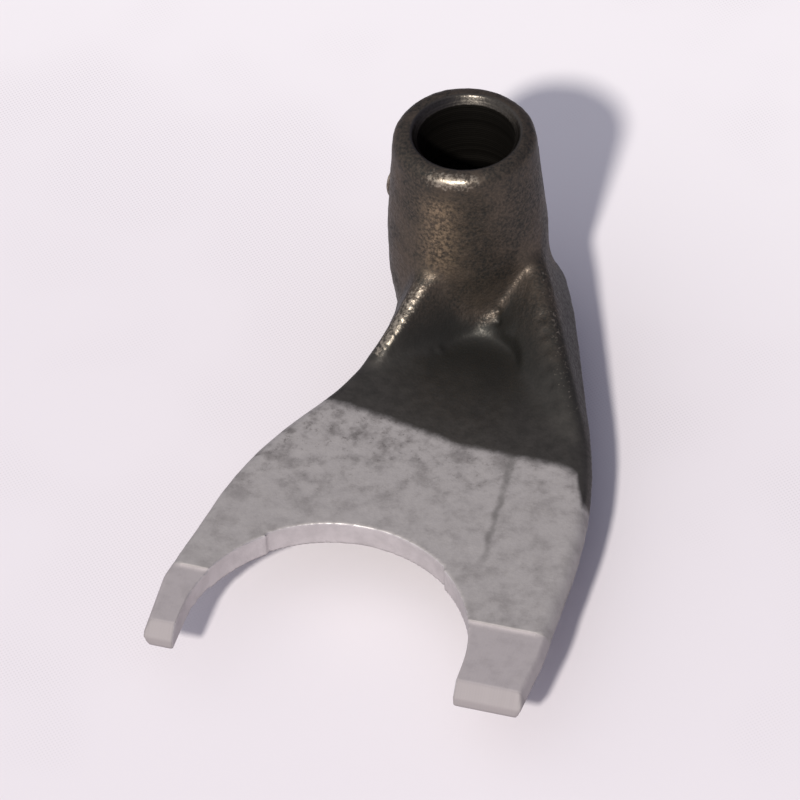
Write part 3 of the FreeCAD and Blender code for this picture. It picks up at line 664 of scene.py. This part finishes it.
def finish_masks(tree, at, edge):
    """Where the scale, the ground pads, the claw's milled wall and the bore lie."""
    scaled = fed(tree, edge, {"Vector": at.vector, "Distance": at.from_line, "Ragged": 1.6,
                              "Softness": 0.8})["Mask"]
    into_bore = calc(tree, "SUBTRACT", MOUTH_RADIUS, at.from_axis)
    bored = fed(tree, edge, {"Vector": at.vector, "Distance": into_bore, "Ragged": 0.25,
                             "Softness": 0.06})["Mask"]
    milled = rise(tree, attribute(tree, "claw_wall"), 0.3, 0.7)
    ground = rise(tree, calc(tree, "SUBTRACT", PAD_LINE, at.y), -PAD_EDGE, PAD_EDGE)
    return scaled, ground, milled, bored


def skin_grain(tree, at, grain):
    """Grain of the forged skin, coarse on the boss and the ribs and calmer at the boss's upper end."""
    calmer = rise(tree, at.smooth_end, 0.0, 1.0, 1.0, 0.4)
    depth = calc(tree, "MULTIPLY", rise(tree, at.raised, 0.0, 0.6, *SKIN_GRAIN_DEPTH), calmer)
    return fed(tree, grain, {"Vector": at.vector, "Scale": 2600.0, "Depth": depth, "Detail": 4.0})


def scale_look(tree, at, effects, finish, scaled, grain):
    """Dark scale with warm patches, faded next to the arm, a painted highlight stripe, and worn crests
    with painted highlight.
    """
    # Steel on the crests: partly wear, partly painted highlight.
    bare_and_sheen = fed(tree, effects.rubbed, {"Vector": at.vector, "Crest": attribute(tree, "crest_wear_and_sheen")})["Mask"]
    bare_and_sheen = calc(tree, "MULTIPLY", calc(tree, "MULTIPLY", bare_and_sheen, scaled), BARE_AND_SHEEN_SHARE)
    warm = calc(tree, "MULTIPLY", rise(tree, noise(tree, at.vector, WARM_PATCH), 0.4, 0.65), at.raised)
    faded = calc(tree, "MULTIPLY", rise(tree, at.from_line, *SCALE_FADE, 0.0, 0.7),
                 rise(tree, noise(tree, at.vector, RAGGED_SIZE, 5.0, 0.65), 0.3, 0.7, 0.45, 1.0))
    speckled = calc(tree, "MULTIPLY", grain["Speckle"], rise(tree, at.raised, 0.0, 1.0, 0.1, 0.6))
    # Painted highlight stripe on the boss, broken into grains.
    painted_highlight = calc(tree, "MULTIPLY", attribute(tree, "painted_highlight_stripe"),
                  rise(tree, noise(tree, at.vector, WEAR_AND_SHEEN_GRAIN, 4.0, 0.6), 0.36, 0.68, 0.05, 0.75))
    tone = blend(tree, speckled, colour(finish.scale_dark), colour(finish.scale_brown))
    tone = blend(tree, calc(tree, "MULTIPLY", warm, WARM_SHARE), tone, colour(finish.scale_brown))
    tone = blend(tree, faded, tone, colour(finish.scale_faded))
    tone = blend(tree, painted_highlight, tone, colour(finish.painted_highlight_gold))
    tone = blend(tree, bare_and_sheen, tone, colour(finish.bare_steel_and_sheen))
    roughness = between(tree, at.smooth_end, rise(tree, grain["Speckle"], 0.0, 1.0, 0.5, 0.36), 0.42)
    return {"colour": tone, "roughness": between(tree, bare_and_sheen, roughness, 0.28),
            "metallic": between(tree, bare_and_sheen, 0.6, 0.95), "height": grain["Height"]}


def arm_look(tree, at, effects, finish):
    """Blasted arm, dirtier towards the scale, with a faint stain along its right side."""
    towards_scale = calc(tree, "SUBTRACT", at.from_line, calc(tree, "MULTIPLY", at.x, DIRT_SLANT))
    dirt = rise(tree, towards_scale, *DIRT_FADE, 0.05, 1.0)
    steel = fed(tree, effects.mottle,
                {"Vector": at.vector, "Light": colour(finish.blasted_light),
                 "Dark": colour(finish.blasted_dark), "Cloud Scale": 330.0, "Speck Scale": 1000.0,
                 "Specks": dirt})
    wander = calc(tree, "MULTIPLY", calc(tree, "SUBTRACT", noise(tree, at.vector, 3.0), 0.5), 1.6)
    across = calc(tree, "ADD", calc(tree, "ADD", at.x, wander), calc(tree, "MULTIPLY", at.y, STREAK_SLOPE))
    from_streak = calc(tree, "ABSOLUTE", calc(tree, "SUBTRACT", across, STREAK_X))
    along = calc(tree, "MULTIPLY", rise(tree, at.y, *STREAK_END),
                 rise(tree, noise(tree, at.vector, 2.5), 0.3, 0.6, 0.5, 1.0))
    streak = calc(tree, "MULTIPLY", rise(tree, from_streak, *STREAK_WIDTH), along)
    stained = calc(tree, "MULTIPLY", streak, STAIN_SHARE)
    tone = blend(tree, stained, steel["Color"], colour(finish.stain))
    grain = fed(tree, effects.grain, {"Vector": at.vector, "Scale": 3200.0, "Depth": 0.02, "Detail": 3.0})
    return {"colour": tone, "roughness": rise(tree, steel["Speck"], 0.0, 0.5, 0.62, 0.72),
            "metallic": 0.25, "height": grain["Height"]}


def pad_look(tree, at, effects, finish):
    """Ground pads with fine grinding lines, and darker bevelled ends."""
    lines = fed(tree, effects.marks, {"Vector": at.vector, "Across": at.x, "Pitch": 0.35, "Depth": 0.0006})
    tone = fed(tree, effects.mottle,
               {"Vector": at.vector, "Light": colour(finish.ground_steel),
                "Dark": shaded(finish.ground_steel, 0.8), "Cloud Scale": 450.0, "Speck Scale": 1800.0,
                "Specks": 0.1})["Color"]
    tips = rise(tree, at.y, TIP_LINE + TIP_EDGE, TIP_LINE - TIP_EDGE)
    tone = blend(tree, tips, tone, shaded(finish.ground_steel, 0.78))
    return {"colour": tone, "roughness": rise(tree, lines["Shade"], 0.2, 0.8, 0.62, 0.7),
            "metallic": 0.15, "height": lines["Height"]}


def claw_look(tree, at, finish):
    """Milled wall of the claw in light, slightly patchy steel."""
    patches = rise(tree, noise(tree, at.vector, 2.0, 4.0), 0.3, 0.7)
    tone = blend(tree, patches, colour(finish.cut_steel), shaded(finish.cut_steel, 0.86))
    return {"colour": tone, "roughness": 0.45, "metallic": 0.7}


def bore_look(tree, at, effects, finish, grain):
    """Bored wall with turned rings, in steel darkened as painted shade of the bore, and the skin's grain
    at its upper mouth.
    """
    rings = fed(tree, effects.marks, {"Vector": at.vector, "Across": at.z, "Pitch": 0.32, "Depth": 0.003})
    mouth = rise(tree, at.z, *UPPER_MOUTH)
    tone = blend(tree, rise(tree, rings["Shade"], 0.2, 0.9), shaded(finish.bored_steel_painted_shade, 0.7),
                 shaded(finish.bored_steel_painted_shade, 1.1))
    speckled = calc(tree, "MULTIPLY", mouth, grain["Speckle"])
    return {"colour": blend(tree, speckled, tone, colour(finish.bored_steel_painted_shade)),
            "roughness": rise(tree, rings["Shade"], 0.2, 0.9, 0.28, 0.4), "metallic": 0.95,
            "height": between(tree, mouth, rings["Height"], grain["Height"])}


def steel_material(finish):
    """Blasted steel with scale, ground pads, milled claw wall and bore laid over it in turn."""
    material, tree = empty_material("forged_steel_finish")
    effects = SimpleNamespace(
        grain=grain_group(), mottle=mottle_group(), edge=ragged_edge_group(), marks=tool_mark_group(),
        rubbed=rubbed_crest_group())
    at = fork_places(tree)
    scaled, ground, milled, bored = finish_masks(tree, at, effects.edge)
    grain = skin_grain(tree, at, effects.grain)
    look = arm_look(tree, at, effects, finish)
    for mask, top in ((scaled, scale_look(tree, at, effects, finish, scaled, grain)),
                      (ground, pad_look(tree, at, effects, finish)),
                      (milled, claw_look(tree, at, finish)),
                      (bored, bore_look(tree, at, effects, finish, grain))):
        for name, value in top.items():
            mix = blend if name == "colour" else between
            look[name] = mix(tree, mask, look[name], value)
    bump = node(tree, "ShaderNodeBump", {"Strength": 1.0, "Distance": MM, "Height": look["height"]})
    shader = node(tree, "ShaderNodeBsdfPrincipled",
                  {"Base Color": look["colour"], "Roughness": look["roughness"],
                   "Metallic": look["metallic"], "Specular IOR Level": 0.3,
                   "Specular Tint": (0.4, 0.4, 0.42, 1.0), "Normal": bump.outputs["Normal"]})
    target = node(tree, "ShaderNodeOutputMaterial", {"Surface": shader.outputs["BSDF"]})
    target.is_active_output = True
    return material


def floor_material(colours):
    """Pale cloth, paler towards the back as painted light, seen from above only, so that it never hides
    the fork.
    """
    material, tree = empty_material("pale_floor")
    vector = node(tree, "ShaderNodeTexCoord").outputs["Object"]
    parts = node(tree, "ShaderNodeSeparateXYZ", {"Vector": vector}).outputs
    turn = 2.0 * math.pi / (WEAVE_PITCH * MM)
    threads = [calc(tree, "SINE", calc(tree, "MULTIPLY", calc(tree, way, parts[0], parts[1]), turn))
               for way in ("ADD", "SUBTRACT")]
    weave = rise(tree, calc(tree, "ADD", threads[0], threads[1]), 0.0, 2.0)
    weave = calc(tree, "MULTIPLY", weave, rise(tree, noise(tree, vector, WEAVE_PATCH, 2.0), 0.45, 0.62))
    # Painted light: the cloth turns paler towards the back.
    painted_light_tone = colour([c ** FLOOR_PAINTED_LIGHT_TONE for c in colours.floor_colour])
    far = rise(tree, parts[1], *(v * MM for v in FLOOR_PAINTED_LIGHT))
    cloth_with_painted_light = blend(tree, far, colour(colours.floor_colour), painted_light_tone)
    tone = blend(tree, weave, cloth_with_painted_light, shaded(colours.floor_colour, 0.86))
    cloth = node(tree, "ShaderNodeBsdfPrincipled",
                 {"Base Color": tone, "Roughness": 0.95, "Specular IOR Level": 0.1})
    clear = node(tree, "ShaderNodeBsdfTransparent")
    behind = node(tree, "ShaderNodeNewGeometry").outputs["Backfacing"]
    both = node(tree, "ShaderNodeMixShader", {0: behind, 1: cloth.outputs[0], 2: clear.outputs[0]})
    node(tree, "ShaderNodeOutputMaterial", {"Surface": both.outputs[0]})
    return material


class SHIFTFORK_OT_forging(bpy.types.Operator):
    """Make the forged skin of the fork with its steel finish"""

    bl_idname = "shiftfork.forging"
    bl_label = "Forging"
    bl_options = {"REGISTER", "UNDO"}

    def execute(self, context):
        settings = context.scene.fork_skin
        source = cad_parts[NODE]
        obj = merged_copy("fork_forging", source)
        remesh(obj, source, settings.voxel)
        fill_creases(obj.data, settings.crease_rounds)
        relax(obj.data, settings.relax_rounds)
        press(obj.data)
        mark(obj.data)
        roughen(obj, settings)
        keep_inside(obj.data, NODE)
        for polygon in obj.data.polygons:
            polygon.use_smooth = True
        obj.data.materials.append(steel_material(context.scene.fork_finish))
        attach(obj, "root")
        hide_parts(NODE)
        return {"FINISHED"}


class SHIFTFORK_OT_stage(bpy.types.Operator):
    """Make the floor, the light and the camera"""

    bl_idname = "shiftfork.stage"
    bl_label = "Stage"
    bl_options = {"REGISTER", "UNDO"}

    def execute(self, context):
        settings = context.scene.fork_stage
        self.make_floor(context, settings)
        self.make_light(context, settings)
        self.make_camera(context, settings)
        context.scene.view_settings.view_transform = "Standard"
        return {"FINISHED"}

    def make_floor(self, context, settings):
        """Round cloth that the boss stands on."""
        work = bmesh.new()
        bmesh.ops.create_circle(work, cap_ends=True, segments=FLOOR_SIDES, radius=settings.floor_radius,
                                matrix=Matrix.Translation((0.0, 0.0, settings.floor_height)))
        mesh = bpy.data.meshes.new("floor")
        work.to_mesh(mesh)
        work.free()
        mesh.materials.append(floor_material(settings))
        floor = bpy.data.objects.new("floor", mesh)
        context.scene.collection.objects.link(floor)

    def make_light(self, context, settings):
        """Main light, and a sky that is brightest on one side."""
        lamp = bpy.data.lights.new("window_light", "SUN")
        lamp.energy = settings.light_strength
        lamp.color = settings.light_colour
        lamp.angle = settings.light_angle
        obj = bpy.data.objects.new("window_light", lamp)
        obj.rotation_euler = Vector(settings.light_travel).to_track_quat("-Z", "Y").to_euler()
        context.scene.collection.objects.link(obj)
        world = bpy.data.worlds.new("sky_light")
        world.use_nodes = True
        tree = world.node_tree
        way = node(tree, "ShaderNodeTexCoord").outputs["Generated"]
        side = Vector(settings.sky_side).normalized()
        facing = node(tree, "ShaderNodeVectorMath", {0: way, 1: side},
                      operation="DOT_PRODUCT").outputs["Value"]
        sky = blend(tree, rise(tree, facing, 0.0, 1.0), colour(settings.sky_dim),
                    colour(settings.sky_bright))
        tree.links.new(sky, tree.nodes["Background"].inputs["Color"])
        context.scene.world = world

    def make_camera(self, context, settings):
        """Camera in its place, turned about its own axis."""
        data = bpy.data.cameras.new("camera")
        data.lens = settings.camera_lens
        data.sensor_width = SENSOR_WIDTH
        data.clip_start = 0.01
        data.clip_end = 20.0
        camera = bpy.data.objects.new("camera", data)
        place_at = Vector(settings.camera_place)
        look = (Vector(settings.camera_aim) - place_at).to_track_quat("-Z", "Y").to_matrix().to_4x4()
        camera.matrix_world = (Matrix.Translation(place_at) @ look
                               @ Matrix.Rotation(settings.camera_roll, 4, "Z"))
        context.scene.collection.objects.link(camera)
        context.scene.camera = camera


class SHIFTFORK_PT_pieces(bpy.types.Panel):
    """Pieces of the shift fork"""

    bl_idname = "SHIFTFORK_PT_pieces"
    bl_label = "Shift Fork"
    bl_space_type = "VIEW_3D"
    bl_region_type = "UI"
    bl_category = "Shift Fork"

    def draw(self, context):
        scene = context.scene
        for title, settings, operator in (
                ("Skin", scene.fork_skin, SHIFTFORK_OT_forging.bl_idname),
                ("Finish", scene.fork_finish, None),
                ("Stage", scene.fork_stage, SHIFTFORK_OT_stage.bl_idname)):
            box = self.layout.box()
            box.label(text=title)
            for name in settings.__annotations__:
                box.prop(settings, name)
            if operator:
                box.operator(operator)


CLASSES = (SkinSettings, FinishSettings, StageSettings, SHIFTFORK_OT_forging, SHIFTFORK_OT_stage,
           SHIFTFORK_PT_pieces)


def register():
    for item in CLASSES:
        bpy.utils.register_class(item)
    bpy.types.Scene.fork_skin = PointerProperty(type=SkinSettings)
    bpy.types.Scene.fork_finish = PointerProperty(type=FinishSettings)
    bpy.types.Scene.fork_stage = PointerProperty(type=StageSettings)


def unregister():
    del bpy.types.Scene.fork_stage
    del bpy.types.Scene.fork_finish
    del bpy.types.Scene.fork_skin
    for item in reversed(CLASSES):
        bpy.utils.unregister_class(item)


def main():
    """Makes the fork and its stage."""
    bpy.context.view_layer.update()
    register()
    bpy.ops.shiftfork.forging()
    bpy.ops.shiftfork.stage()


if __name__ == "__main__":
    main()
